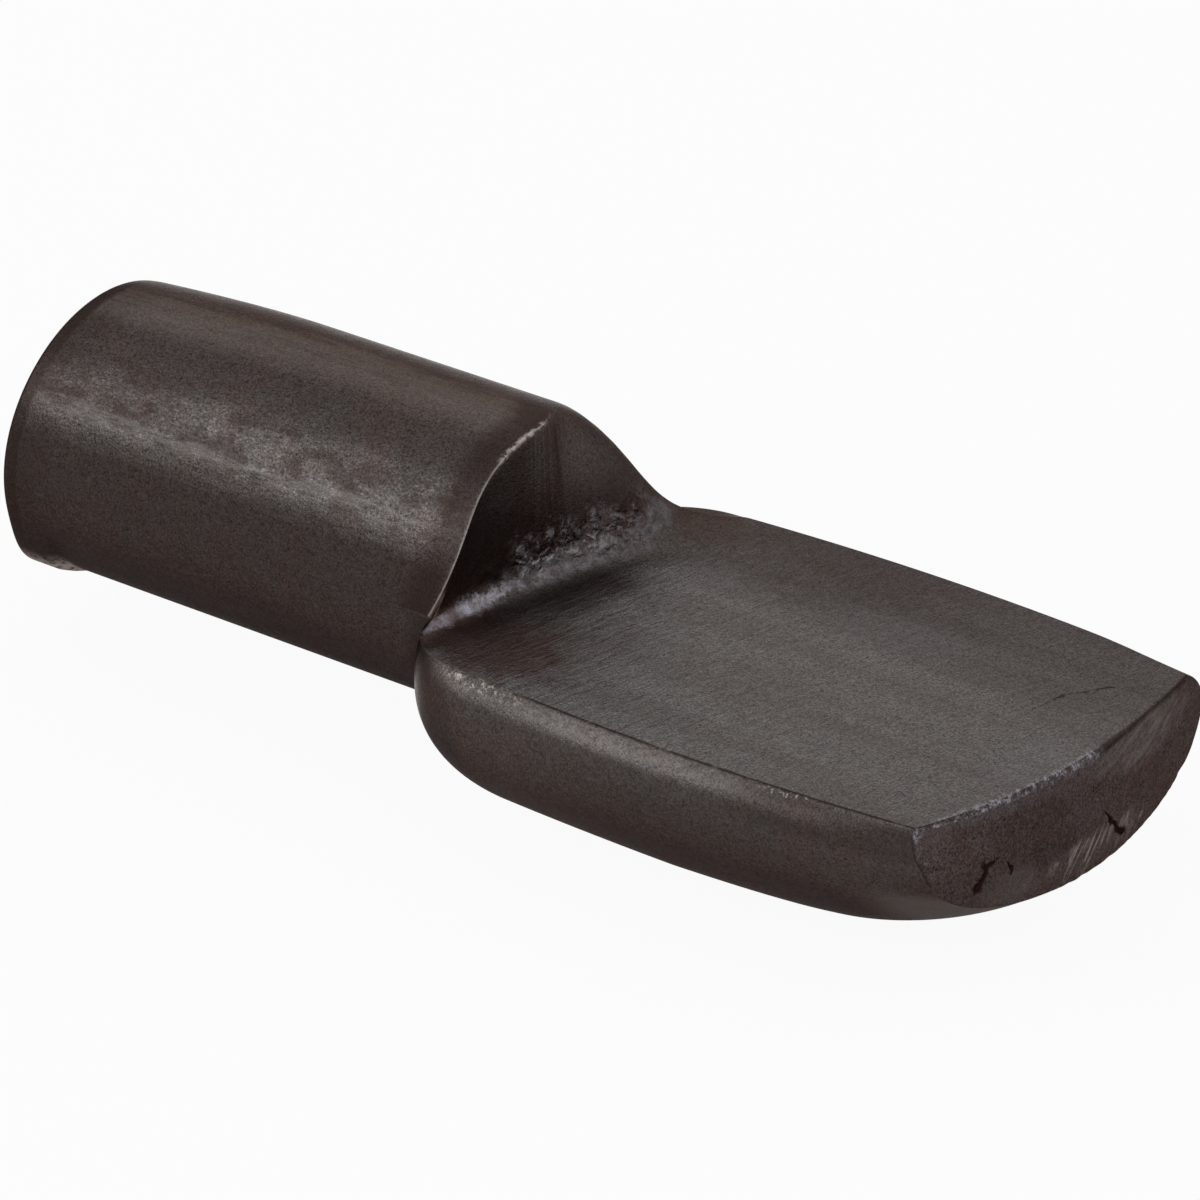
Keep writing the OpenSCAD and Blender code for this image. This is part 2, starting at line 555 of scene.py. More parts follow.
    def plug_rings(self):
        """The sheared end from its middle out, round its rim, and along the plug."""
        turn = self.turn
        cos, sin = np.cos(turn), np.sin(turn)
        roll = self.end_roll(turn)
        radius = self.plug_radius(self.end_surface(sin), turn)
        rings = []
        for k in range(self.FACE_RINGS + 1):
            r = (radius - roll) * k / self.FACE_RINGS
            rings.append(np.stack([self.end_surface(r * sin), r * cos, r * sin], -1))
        for k in range(1, self.END_ROLL_RINGS + 1):
            a = np.pi / 2 * k / self.END_ROLL_RINGS
            r = radius - roll + roll * math.sin(a)
            x = self.end_surface((radius - roll) * sin) + roll * (1 - math.cos(a))
            rings.append(np.stack([x, r * cos, r * sin], -1))
        rim = rings[-1][:, 0]
        for k in range(1, self.PLUG_RINGS + 1):
            x = blend(rim, self.NECK_START, k / self.PLUG_RINGS)
            r = self.plug_radius(x, turn)
            rings.append(np.stack([x, r * cos, r * sin], -1))
        return rings

    def neck_rings(self):
        """Over the crest and down the wall on top, and out along the swell underneath."""
        paths = np.stack([self.lane_path(lane) for lane in self.lane], 1)
        side = self.side
        turn = np.pi * (1 + side)
        edge = np.minimum(side, 1 - side)
        front_part = 1 - ease(side, 0, self.NECK_EDGE_SHARE)
        rear_part = 1 - ease(1 - side, 0, self.NECK_EDGE_SHARE)
        plug_y, plug_z = np.cos(turn), np.sin(turn)
        count = len(paths)
        rings = []
        for k in range(1, count):
            x, z = paths[k, :, 0], paths[k, :, 1]
            fallen = np.clip((self.up - z) / np.maximum(self.up - FACE_Z, 1e-6), 0, 1)
            y = self.across * (1 + (self.neck_half(x) - 1) * fallen**self.NECK_FALL_POWER)
            even = blend(self.NECK_START, self.NECK_END, k / (count - 1))
            under_x = even + (x[-1] - even) * front_part + (x[0] - even) * rear_part
            at_edge = bell(edge, 0, self.SWELL_EDGE_WIDE)
            full = blend(self.SWELL_FULL, self.SWELL_FULL_EDGE, at_edge)
            start = self.SWELL_START + self.SWELL_SLOPE * plug_z
            grown = bulge(under_x, start, full) ** self.SWELL_POWER
            full_y, full_z = self.section(np.maximum(under_x, self.SECTION_START), side)
            under = np.stack(
                [under_x, blend(plug_y, full_y, grown), blend(plug_z, full_z, grown)], -1
            )
            rings.append(self.loop(np.stack([x, y, z], -1), under))
        return rings

    def blade_ring(self, over_x, under_x):
        """One ring of the blade: its points over the face, and round the sides and belly."""
        tuck = np.where(self.across > 0, self.NOSE_TUCK, 0) * ease(over_x, *self.NEAR_NOSE)
        half = self.half(over_x) - tuck
        over = np.stack([over_x, self.across * half, 0 * over_x + FACE_Z], -1)
        y, z = self.section(under_x, self.side)
        return over, np.stack([under_x, y, z], -1)

    def blade_rings(self):
        """Along the blade. Each ring is bent more towards the outline of the nose face."""
        rings = []
        short = self.shape.nose_roll
        for k in range(1, self.BLADE_RINGS + 1):
            along = k / self.BLADE_RINGS
            straight = blend(self.NECK_END, self.nose_x, along)
            over, under = self.blade_ring(0 * self.lane + straight, 0 * self.side + straight)
            # The bend moves a ring along, which changes its section, so it is made in passes
            for _ in range(self.BEND_PASSES):
                over_x = self.nose_surface(over[:, 1], over[:, 2]) - short
                under_x = self.nose_surface(under[:, 1], under[:, 2]) - short
                over, under = self.blade_ring(
                    blend(self.NECK_END, over_x, along), blend(self.NECK_END, under_x, along)
                )
            rings.append(self.loop(over, under))
        return rings

    def nose_rings(self, outline):
        """From the blade's last ring, round its edge and in to the middle of the nose face."""
        flat = outline[:, 1:]
        along = np.roll(flat, -1, 0) - np.roll(flat, 1, 0)
        along /= np.maximum(np.linalg.norm(along, axis=1, keepdims=True), 1e-9)
        inward = np.stack([-along[:, 1], along[:, 0]], -1)
        middle = np.array([flat[:, 0].mean(), FACE_Z - self.NOSE_MIDDLE])
        inward *= np.sign(np.median(np.sign(((middle - flat) * inward).sum(1))))
        # At its two corners the face's edge turns towards the middle, so that no rows cross
        corners = flat[[0, self.over]]
        away = np.linalg.norm(flat[:, None] - corners[None], axis=2).min(1)
        near = bell(away, 0, self.NOSE_CORNER)[:, None]
        towards = (middle - flat) / np.linalg.norm(middle - flat, axis=1, keepdims=True)
        inward = inward * (1 - near) + towards * near
        inward /= np.linalg.norm(inward, axis=1, keepdims=True)
        short = self.shape.nose_roll
        rings = []
        for k in range(1, self.NOSE_ROLL_RINGS + 1):
            a = np.pi / 2 * k / self.NOSE_ROLL_RINGS
            yz = flat + inward * short * (1 - math.cos(a))
            x = self.nose_surface(yz[:, 0], yz[:, 1]) - short * (1 - math.sin(a))
            rings.append(np.column_stack([x, yz]))
        rim = rings[-1][:, 1:]
        for k in range(1, self.NOSE_RINGS + 1):
            yz = middle + (rim - middle) * (1 - k / self.NOSE_RINGS)
            rings.append(np.column_stack([self.nose_surface(yz[:, 0], yz[:, 1]), yz]))
        return rings

    def rings(self):
        """All rings in order, as [ring, row, xyz] in plug radii."""
        rings = self.plug_rings() + self.neck_rings() + self.blade_rings()
        rings += self.nose_rings(rings[-1])
        return np.stack(rings)

    # -- distances along the skin, for the finish

    def marks(self, rings):
        """Distances along the skin, in millimetres, from its edges and corners."""
        scale = self.shape.plug_radius / MM
        step = np.linalg.norm(np.diff(rings, axis=0), axis=2) * scale
        along = np.concatenate([np.zeros((1, step.shape[1])), np.cumsum(step, 0)])
        above = np.arange(rings.shape[1]) <= self.over
        closed = np.concatenate([rings, rings[:, :1]], 1)
        round_step = np.linalg.norm(np.diff(closed, axis=1), axis=2) * scale
        around = np.concatenate([np.zeros((len(rings), 1)), np.cumsum(round_step, 1)], 1)
        front = around[:, :-1] - around[:, self.over : self.over + 1]
        rear = np.where(above, -around[:, :-1], around[:, -1:] - around[:, :-1])
        collar = self.SWELL_START + self.SWELL_SLOPE * np.sin(self.turn)
        return {
            "crest": np.where(above, along - along[self.CREST_RING], self.FAR),
            "root": np.where(above, along - along[self.ROOT_RING], self.FAR),
            "nose": along - along[self.NOSE_RING],
            "end": along[self.END_RING] - along,
            "edge": np.where(np.abs(front) < np.abs(rear), front, rear),
            "swell": np.where(above, self.FAR, (rings[:, :, 0] - collar) * scale),
        }

    # -- relief

    def normals(self, rings):
        """Outward directions of the skin at each point."""
        normal = np.cross(np.roll(rings, -1, 1) - np.roll(rings, 1, 1), np.gradient(rings, axis=0))
        normal /= np.maximum(np.linalg.norm(normal, axis=2, keepdims=True), 1e-12)
        middle = len(rings) - self.NOSE_RINGS - self.BLADE_RINGS // 2
        return normal * np.sign(normal[middle, self.over // 2, 2])

    def relief(self, rings, marks):
        """Crumpled root, chipped crest and torn lower edge of the nose."""
        scale = self.shape.plug_radius / MM
        places = rings * scale
        y, z = places[:, :, 1], places[:, :, 2]
        root, crest, nose = marks["root"], marks["crest"], marks["nose"]
        folds = bell(root, -0.30, 0.42) * ease(y, -2.4, -0.9) * (1 - ease(y, 2.2, 3.0))
        chips = bell(crest, 0, 0.05) * ease(y, -2.0, -1.0) * (1 - ease(y, 0.2, 0.6))
        torn = bell(nose, 0.05, 0.25) * ease(y, -1.2, 0.0) * ease(-z, 1.2, 1.8)
        # Each with the size of its lumps and their height, in millimetres
        kinds = ((folds, 0.26, 0.055), (chips, 0.16, -0.035), (torn, 0.30, 0.018))
        lift = np.zeros(root.shape)
        for mask, size, height in kinds:
            for ring, row in zip(*np.where(mask > self.RELIEF_LEAST)):
                rough = noise.noise(Vector(places[ring, row] / size))
                lift[ring, row] += mask[ring, row] * height * (1 - 2.2 * abs(rough))
        return rings + self.normals(rings) * (lift / scale)[:, :, None]

    def finish_of(self, ring, row):
        """Which finish a face of the skin has: 0 plating, 1 pressed, 2 sheared."""
        if ring < self.END_RING or ring >= self.NOSE_RING:
            return 2
        if row < self.over and ring >= self.CREST_RING:
            return 1
        return 0


# ---------------------------------------------------------------- mesh


def wrap_skin(shape):
    """Wraps a flat sheet round the pin, closes it and returns the mesh."""
    skin = Skin(shape)
    rings = skin.rings()
    marks = skin.marks(rings)
    rings = skin.relief(rings, marks)
    ring_count, row_count = rings.shape[:2]
    places = np.concatenate([rings, rings[:, :1]], 1).reshape(-1, 3) * shape.plug_radius
    sheet = bmesh.new()
    bmesh.ops.create_grid(sheet, x_segments=row_count, y_segments=ring_count - 1, size=1)
    sheet.verts.ensure_lookup_table()
    layers = {name: sheet.verts.layers.float.new(name) for name in marks}
    values = {name: np.concatenate([m, m[:, :1]], 1).ravel() for name, m in marks.items()}
    for index, vert in enumerate(sheet.verts):
        vert.co = Vector(places[index])
        for name, layer in layers.items():
            vert[layer] = values[name][index]
    for face in sheet.faces:
        ring, row = divmod(min(vert.index for vert in face.verts), row_count + 1)
        face.material_index = skin.finish_of(ring, row)
    bmesh.ops.remove_doubles(sheet, verts=sheet.verts, dist=SAME_PLACE)
    bmesh.ops.recalc_face_normals(sheet, faces=sheet.faces)
    for face in sheet.faces:
        face.smooth = True
    return sheet


def new_piece(name, sheet):
    """An object in the scene, made from a bmesh."""
    mesh = bpy.data.meshes.new(name)
    sheet.to_mesh(mesh)
    sheet.free()
    piece = bpy.data.objects.new(name, mesh)
    bpy.context.scene.collection.objects.link(piece)
    return piece


# ---------------------------------------------------------------- nodes

FLOAT, COLOUR, VECTOR = "NodeSocketFloat", "NodeSocketColor", "NodeSocketVector"
# Places of a Mix node's sockets, for numbers and for colours
MIX_FACTOR, MIX_NUMBER_A, MIX_NUMBER_B, MIX_COLOUR_A, MIX_COLOUR_B = 0, 2, 3, 6, 7
MIX_NUMBER, MIX_COLOUR = 0, 2


def node(tree, kind, sockets=None, **settings):
    """Adds a node; sockets gives its inputs, as values or as the wires that feed them."""
    made = tree.nodes.new(kind)
    for name, value in settings.items():
        setattr(made, name, value)
    for key, value in (sockets or {}).items():
        if isinstance(value, Wire):
            tree.links.new(value.socket, made.inputs[key])
        else:
            made.inputs[key].default_value = value
    return made


def wire(tree, kind, sockets=None, output=0, **settings):
    """Adds a node and returns the wire from one of its outputs."""
    return Wire(tree, node(tree, kind, sockets, **settings).outputs[output])


def maths(operation, a, b=0.0, clamp=False):
    """Math on two numbers, one of them a wire at least."""
    tree = a.tree if isinstance(a, Wire) else b.tree
    return wire(tree, "ShaderNodeMath", {0: a, 1: b}, operation=operation, use_clamp=clamp)


def larger(a, b):
    return maths("MAXIMUM", a, b)


def mixed(factor, a, b):
    """Mix of two colours."""
    sockets = {MIX_FACTOR: factor, MIX_COLOUR_A: a, MIX_COLOUR_B: b}
    return wire(factor.tree, "ShaderNodeMix", sockets, MIX_COLOUR, data_type="RGBA")


def between(factor, a, b):
    """Mix of two numbers."""
    sockets = {MIX_FACTOR: factor, MIX_NUMBER_A: a, MIX_NUMBER_B: b}
    return wire(factor.tree, "ShaderNodeMix", sockets, MIX_NUMBER)


def rgba(colour):
    return (*colour, 1.0)


class Wire:
    """What comes out of a node. Sums and products of wires add math nodes to their tree."""

    def __init__(self, tree, socket):
        self.tree = tree
        self.socket = socket

    def __add__(self, other):
        return maths("ADD", self, other)

    def __sub__(self, other):
        return maths("SUBTRACT", self, other)

    def __mul__(self, other):
        return maths("MULTIPLY", self, other)

    def __truediv__(self, other):
        return maths("DIVIDE", self, other)

    def __abs__(self):
        return maths("ABSOLUTE", self)

    # -- of numbers

    def ramp(self, start, end, low_value=0.0, high_value=1.0):
        """Smooth step, from low_value at start to high_value at end."""
        sockets = {
            "Value": self,
            "From Min": start,
            "From Max": end,
            "To Min": low_value,
            "To Max": high_value,
        }
        smooth = {"interpolation_type": "SMOOTHSTEP"}
        return wire(self.tree, "ShaderNodeMapRange", sockets, "Result", **smooth)

    def band(self, start, full, fade, end):
        """1 between full and fade, 0 outside start and end."""
        return self.ramp(start, full) * self.ramp(end, fade)

    # -- of places

    def axes(self):
        """The three coordinates of a place."""
        parts = node(self.tree, "ShaderNodeSeparateXYZ", {0: self})
        return [Wire(self.tree, output) for output in parts.outputs]

    def vector(self, operation, other, output="Vector"):
        """Vector math with another vector, or with a number for a scale."""
        sockets = {0: self, "Scale" if operation == "SCALE" else 1: other}
        return wire(self.tree, "ShaderNodeVectorMath", sockets, output, operation=operation)

    def length(self):
        return wire(self.tree, "ShaderNodeVectorMath", {0: self}, "Value", operation="LENGTH")

    def turned(self, *degrees):
        """A place turned about the origin."""
        turn = [math.radians(each) for each in degrees]
        return wire(self.tree, "ShaderNodeMapping", {"Vector": self, "Rotation": turn})

    def grain(self, scale, detail=3.0, roughness=0.6, distortion=0.0, output="Fac"):
        """Noise, by place."""
        sockets = {
            "Vector": self,
            "Scale": scale,
            "Detail": detail,
            "Roughness": roughness,
            "Distortion": distortion,
        }
        return wire(self.tree, "ShaderNodeTexNoise", sockets, output)


# ---------------------------------------------------------------- shared node groups


def new_group(name, inputs, outputs, build):
    """A shader node group. Build turns the wires of its inputs into those of its outputs.

    An input is given as its kind of socket, or as the default of a plain number.
    """
    tree = bpy.data.node_groups.new(name, "ShaderNodeTree")
    for label, kind in inputs.items():
        is_number = isinstance(kind, float)
        socket_type = FLOAT if is_number else kind
        made = tree.interface.new_socket(label, in_out="INPUT", socket_type=socket_type)
        if is_number:
            made.default_value = kind
    for label, kind in outputs.items():
        tree.interface.new_socket(label, in_out="OUTPUT", socket_type=kind)
    given = node(tree, "NodeGroupInput")
    made = build(*(Wire(tree, given.outputs[label]) for label in inputs))
    node(tree, "NodeGroupOutput", dict(zip(outputs, made)))
    return tree


def mottled_plating(place, dark, warm, cool, amount):
    """Bronze plating: patches of warm and cool colour under a fine grain."""
    colour = mixed(place.grain(0.9, 5, 0.65).ramp(0.42, 0.68), dark, warm)
    colour = mixed(place.grain(1.7, 5, 0.7, 0.3).ramp(0.48, 0.72), colour, cool)
    height = place.grain(8.0, 3, 0.7) * 0.5 + place.grain(22.0, 2, 0.8) * 1.5
    tone = (height - 1.0) * amount * 3.0 + 1.0
    return colour.vector("SCALE", tone), height


def rubbed_edge(place, distance, width, breaks, beads):
    """A rubbed line where a distance is near nothing, broken up along its length."""
    wide = width * (place.grain(beads, 4, 0.7) * 2.0)
    near = maths("SUBTRACT", 1.0, abs(distance) / wide, clamp=True)
    kept = place.grain(beads * 0.5, 5, 0.7).ramp(breaks, breaks + 0.12)
    return [near * kept]


def short_streaks(place, stretch, share):
    """Short streaks: a noise stretched along one axis by its scale on each axis."""
    lines = place.vector("MULTIPLY", stretch).grain(1.0, 4, 0.65, 0.4)
    return lines.ramp(share, share + 0.18), lines


def ragged_patch(place, centre, size, ragged):
    """A soft, ragged patch round a point, with its own half-size on each axis."""
    away = place.vector("SUBTRACT", centre).vector("DIVIDE", size).length()
    reach = away + (place.grain(2.6, 5, 0.7) - 0.5) * ragged * 2.0
    return [reach.ramp(1.15, 0.45)]


def crack(place, start, end, width):
    """A crack from one point to another, which opens towards the second."""
    wobble = place.grain(3.5, roughness=0.5, output="Color")
    wobble = wobble.vector("SUBTRACT", (0.5, 0.5, 0.5)).vector("SCALE", 0.25)
    away = place.vector("ADD", wobble).vector("SUBTRACT", start)
    line = end.vector("SUBTRACT", start)
    ahead = away.vector("DOT_PRODUCT", line, "Value")
    whole = line.vector("DOT_PRODUCT", line, "Value")
    along = maths("DIVIDE", ahead, whole, clamp=True)
    gap = away.vector("DISTANCE", line.vector("SCALE", along), "Value")
    return [(gap / (width * (along + 0.3))).ramp(1.2, 0.5)]


def crumpled_folds(place, scale):
    """Crumpled metal: small folds with creases between them."""
    bend = place.grain(3.0, roughness=0.5, output="Color").vector("SCALE", 0.5)
    sockets = {"Vector": place.vector("ADD", bend), "Scale": scale}
    edges = {"feature": "DISTANCE_TO_EDGE"}
    gap = wire(place.tree, "ShaderNodeTexVoronoi", sockets, "Distance", **edges)
    return gap.ramp(0.16, 0.02), gap.ramp(0.0, 0.35)


def shared_groups():
    """The node groups that the materials share, by a short name."""
    mask = {"Mask": FLOAT}
    return {
        "plating": new_group(
            "Mottled plating",
            {"Place": VECTOR, "Dark": COLOUR, "Warm": COLOUR, "Cool": COLOUR, "Grain": 0.5},
            {"Colour": COLOUR, "Height": FLOAT},
            mottled_plating,
        ),
        "edge": new_group(
            "Rubbed edge",
            {"Place": VECTOR, "Distance": 1.0, "Width": 0.03, "Breaks": 0.4, "Beads": 5.0},
            mask,
            rubbed_edge,
        ),
        "streaks": new_group(
            "Streaks",
            {"Place": VECTOR, "Stretch": VECTOR, "Share": 0.5},
            {"Mask": FLOAT, "Height": FLOAT},
            short_streaks,
        ),
        "patch": new_group(
            "Ragged patch",
            {"Place": VECTOR, "Centre": VECTOR, "Size": VECTOR, "Ragged": 0.6},
            mask,
            ragged_patch,
        ),
        "crack": new_group(
            "Crack",
            {"Place": VECTOR, "Start": VECTOR, "End": VECTOR, "Width": 0.08},
            mask,
            crack,
        ),
        "folds": new_group(
            "Crumpled folds",
            {"Place": VECTOR, "Scale": 4.5},
            {"Creases": FLOAT, "Height": FLOAT},
            crumpled_folds,
        ),
    }


# ---------------------------------------------------------------- materials


class Coat:
    """One material while its layers are put on, one over another."""

    def __init__(self, name, groups):
        self.groups = groups
        self.material = bpy.data.materials.new(name)
        self.material.use_nodes = True
        self.tree = self.material.node_tree
        self.tree.nodes.clear()
        uniform = {"Metallic": METALLIC, "Specular Tint": SPECULAR_TINT}
        self.shader = node(self.tree, "ShaderNodeBsdfPrincipled", uniform)
        surface = Wire(self.tree, self.shader.outputs[0])
        node(self.tree, "ShaderNodeOutputMaterial", {"Surface": surface})
        where = wire(self.tree, "ShaderNodeTexCoord", output="Object")
        in_mm = {"Vector": where, "Scale": (1 / MM, 1 / MM, 1 / MM)}
        self.place = wire(self.tree, "ShaderNodeMapping", in_mm)
        self.axes = self.place.axes()
        self.colour = None

    def marks(self, *names):
        """Distances along the skin, in millimetres."""
        kind = "ShaderNodeAttribute"
        return [wire(self.tree, kind, output="Fac", attribute_name=name) for name in names]

    def use(self, group, place=None, **sockets):
        """Adds a shared group and returns its outputs by name."""
        sockets = {"Place": place or self.place, **sockets}
        made = node(self.tree, "ShaderNodeGroup", sockets, node_tree=self.groups[group])
        return {output.name: Wire(self.tree, output) for output in made.outputs}

    def plating(self, dark, warm, cool, amount):
        colours = {"Dark": rgba(dark), "Warm": rgba(warm), "Cool": rgba(cool)}
        return self.use("plating", Grain=amount, **colours)

    def rubbed(self, distance, width, breaks, beads=5.0):
        sizes = {"Width": width, "Breaks": breaks, "Beads": beads}
        return self.use("edge", Distance=distance, **sizes)["Mask"]

    def streaks(self, stretch, share, place=None):
        return self.use("streaks", place, Stretch=stretch, Share=share)

    def spot(self, centre, size, ragged, place=None):
        return self.use("patch", place, Centre=centre, Size=size, Ragged=ragged)["Mask"]

    def split(self, start, end, width, place=None):
        return self.use("crack", place, Start=start, End=end, Width=width)["Mask"]

    def burred(self):
        """Where a burr is left standing along an edge."""
        return self.place.grain(8.0, 5, 0.8).ramp(0.47, 0.66)

    def roughness(self, smooth, rough):
        return self.place.grain(2.5, 4, 0.6).ramp(0.3, 0.7, smooth, rough)

    def lay(self, colour, mask):
        """Lays a colour over the ones before, as thick as the mask says."""
        self.colour = mixed(mask, self.colour, rgba(colour))

    def feed(self, name, value):
        self.tree.links.new(value.socket, self.shader.inputs[name])

    def close(self, height, strength, rough):
        """Joins the colour, the roughness and the bump to the shader."""
        sockets = {"Height": height, "Strength": strength, "Distance": BUMP_DEPTH}
        self.feed("Base Color", self.colour)
        self.feed("Roughness", rough)
        self.feed("Normal", wire(self.tree, "ShaderNodeBump", sockets))
        return self.material


class Finish:
    """Builds the pin's three materials from the shared node groups.

    Places and distances are in millimetres. The plug's lines are placed by degrees
    round its axis, which grow from the rear over the top to the front.
    """

    def __init__(self, colours):
        self.colours = colours
        self.groups = shared_groups()

    # -- plug, sides and belly

    def dark_bronze(self):
        ours = self.colours
        coat = Coat("dark_bronze", self.groups)
        amount = coat.axes[0].ramp(1.0, 2.0, 0.8, 0.6)
        skin = coat.plating(ours.dark, ours.warm, ours.cool, amount)
        coat.colour = skin["Colour"]
        lowest = self.plug_light_and_shade(coat)
        self.plug_shade_and_wear(coat)
        self.front_edge(coat)
        underside = self.belly(coat)
        height = skin["Height"] + coat.place.grain(4.0) * 1.2
        dull = larger(lowest, underside) * 0.35
        return coat.close(height, 0.3, coat.roughness(0.20, 0.28) + dull)

    def plug_light_and_shade(self, coat):
        """Painted highlights and painted shade in lines along the plug. Returns the mask of its
        lowest part.
        """
        ours = self.colours
        x, y, z = coat.axes
        (end,) = coat.marks("end")
        wander = coat.streaks((0.7, 5.0, 5.0), 0.45)["Height"]
        turn = maths("FLOORED_MODULO", maths("ARCTAN2", z, y) * (180 / math.pi), 360.0)
        turn = turn + wander.ramp(0.2, 0.8, -3.0, 3.0)
        plug = x.ramp(1.3, 0.7) * end.ramp(0.0, -0.5)
        # Painted shade: a dark line just under the plug's upper outline
        coat.lay(ours.shade_and_dirt, turn.band(66.0, 72.0, 80.0, 86.0) * plug * 0.25)
        # A faint painted highlight along the upper side
        slanted = turn + x.ramp(-9.0, -4.0, -6.0, 0.0)
        faint_highlight = slanted.band(78.0, 88.0, 97.0, 112.0) * plug
        coat.lay(ours.wear_and_sheen, faint_highlight * wander.ramp(0.3, 0.6, 0.6, 1.1) * 0.125)
        # Painted shade between the faint highlight and the main one
        coat.lay(ours.shade_and_dirt, turn.band(106.0, 114.0, 127.0, 132.0) * plug * 0.22)
        # Painted shade below the main highlight and round the underside
        coat.lay(ours.shade_and_dirt, turn.band(156.0, 164.0, 300.0, 345.0) * plug * 0.50)
        # Deeper painted shade on the lowest part
        lowest = turn.band(196.0, 225.0, 290.0, 330.0) * plug
        coat.lay(ours.shade_and_dirt, lowest * 0.45)
        # The main highlight's band: painted dark mottles and painted glints in it
        strip = turn.band(128.0, 134.0, 152.0, 158.0) * plug
        fine = coat.place.vector("MULTIPLY", (0.55, 1.0, 1.0))
        pocks = fine.grain(1.6, 6, 0.75)
        coat.lay(ours.shade_and_dirt, pocks.ramp(0.44, 0.58) * strip * 0.50)
        highlight_specks = fine.grain(18.0, 3, 0.8).ramp(0.48, 0.72) * strip * pocks.ramp(0.60, 0.44)
        coat.lay(ours.wear_and_sheen, highlight_specks * 0.26)
        # Painted shade dimming the highlight towards the sheared end
        duller = turn.band(124.0, 130.0, 148.0, 156.0) * plug * x.ramp(-5.0, -7.0)
        coat.lay(ours.shade_and_dirt, duller * 0.32)
        # A painted highlight: the bright line at the highlight's lower edge
        ridge_highlight = turn.band(146.0, 150.0, 152.0, 156.0) * plug * wander.ramp(0.35, 0.6)
        coat.lay(ours.wear_and_sheen, ridge_highlight * 0.11)
        return lowest

    def plug_shade_and_wear(self, coat):
        """Painted shade beside the crest and in the corner of the swell, darker round the sheared
        end, a painted highlight on the burr's lip, and chips on the crest.
        """
        ours = self.colours
        _, y, z = coat.axes
        crest, swell, end = coat.marks("crest", "swell", "end")
        # Painted shade on the plug beside the crest
        coat.lay(ours.shade_and_dirt, crest.band(-1.1, -0.45, -0.12, 0.05) * 0.62)
        # Painted shade in the corner where the swell leaves the plug
        coat.lay(ours.shade_and_dirt, swell.band(-0.1, 0.1, 0.7, 1.4) * y.ramp(0.5, -0.5) * 0.58)
        coat.lay(ours.shade_and_dirt, swell.band(-0.7, -0.05, 0.08, 0.5) * 0.6)
        # Darker in a narrow band round the lower rim of the sheared end
        coat.lay(ours.shade_and_dirt, end.band(-0.45, -0.30, 0.3, 0.6) * z.ramp(-2.4, -1.4) * 0.65)
        # Painted shade where the highlight fades towards the sheared end
        coat.lay(ours.shade_and_dirt, end.band(-1.6, -0.5, 0.3, 0.6) * 0.25)
        # A painted highlight along the burr's lip
        lip = end.band(-1.35, -1.0, 0.0, 0.1) * z.ramp(-2.0, -2.5) * y.ramp(0.6, -0.6)
        coat.lay(ours.wear_and_sheen, lip * coat.place.grain(6.0, 4, 0.7).ramp(0.30, 0.55) * 0.70)
        chips = coat.rubbed(crest + 0.03, 0.08, 0.47)
        coat.lay(ours.wear_and_sheen, chips * y.band(-1.5, -1.2, 0.0, 0.25))

    def front_edge(self, coat):
        """The blade's front edge: a speckled band of painted highlight, dimmed by painted shade
        near the nose, beads of uncoated metal, and dark lines of painted shade along the flash.
        """
        ours = self.colours
        x, y, _ = coat.axes
        edge, crest = coat.marks("edge", "crest")
        front = y.ramp(0.5, -0.5) * x.ramp(1.5, 2.1)
        reach = edge + x.ramp(7.0, 12.0, 0.0, 0.35)
        # A speckled painted highlight on the side just below the edge
        light = edge.band(0.0, 0.08, 0.6, 0.9) * reach.ramp(0.62, 0.35) * front
        light = light * coat.place.grain(7.0, 5, 0.8).ramp(0.34, 0.64)
        coat.lay(ours.wear_and_sheen, light * x.ramp(3.5, 5.5, 0.03, 0.12) * x.ramp(10.5, 8.0))
        # Painted shade dimming that highlight towards the nose
        duller = edge.band(0.0, 0.15, 0.6, 1.0) * front * x.ramp(8.5, 10.5)
        coat.lay(ours.shade_and_dirt, duller * 0.42)
        beads = coat.rubbed(edge - 0.10, 0.20, 0.50, 16.0) * front
        near_nose = x.band(9.6, 10.0, 10.7, 11.2) * edge.ramp(0.2, 0.1)
        coat.lay(ours.wear_and_sheen, beads * larger(x.band(1.9, 2.6, 3.3, 4.6), near_nose) * 0.65)
        # Painted shade in the thin groove along the flash
        flash = coat.rubbed(edge, 0.03, 0.36)
        coat.lay(ours.shade_and_dirt, flash * x.ramp(3.6, 4.6) * y.ramp(0.5, -0.5))
        coat.lay(ours.wear_and_sheen, coat.rubbed(crest, 0.03, 0.2) * y.ramp(0.5, 0.0) * 0.5)

    def belly(self, coat):
        """Painted shade, deeper down the sides and on the underside, and rubbed under the nose.
        Returns the underside's mask.
        """
        ours = self.colours
        x, y, z = coat.axes
        edge, swell, nose = coat.marks("edge", "swell", "nose")
        grown = swell.ramp(-0.2, 0.6)
        # Painted shade growing deeper down the sides
        coat.lay(ours.shade_and_dirt, edge.ramp(0.3, 1.4) * grown * x.ramp(3.2, 7.0, 0.14, 0.38))
        # Painted shade on the underside
        underside = edge.ramp(1.6, 3.0) * grown
        coat.lay(ours.shade_and_dirt, underside * 0.35)
        rubbed = nose.band(-2.2, -0.9, -0.1, 0.05) * z.ramp(-1.5, -1.9)
        coat.lay(ours.pressed, rubbed * y.band(-4.6, -3.6, -2.2, -0.8) * 0.50)
        return underside

    # -- shoulder wall, root and shelf face

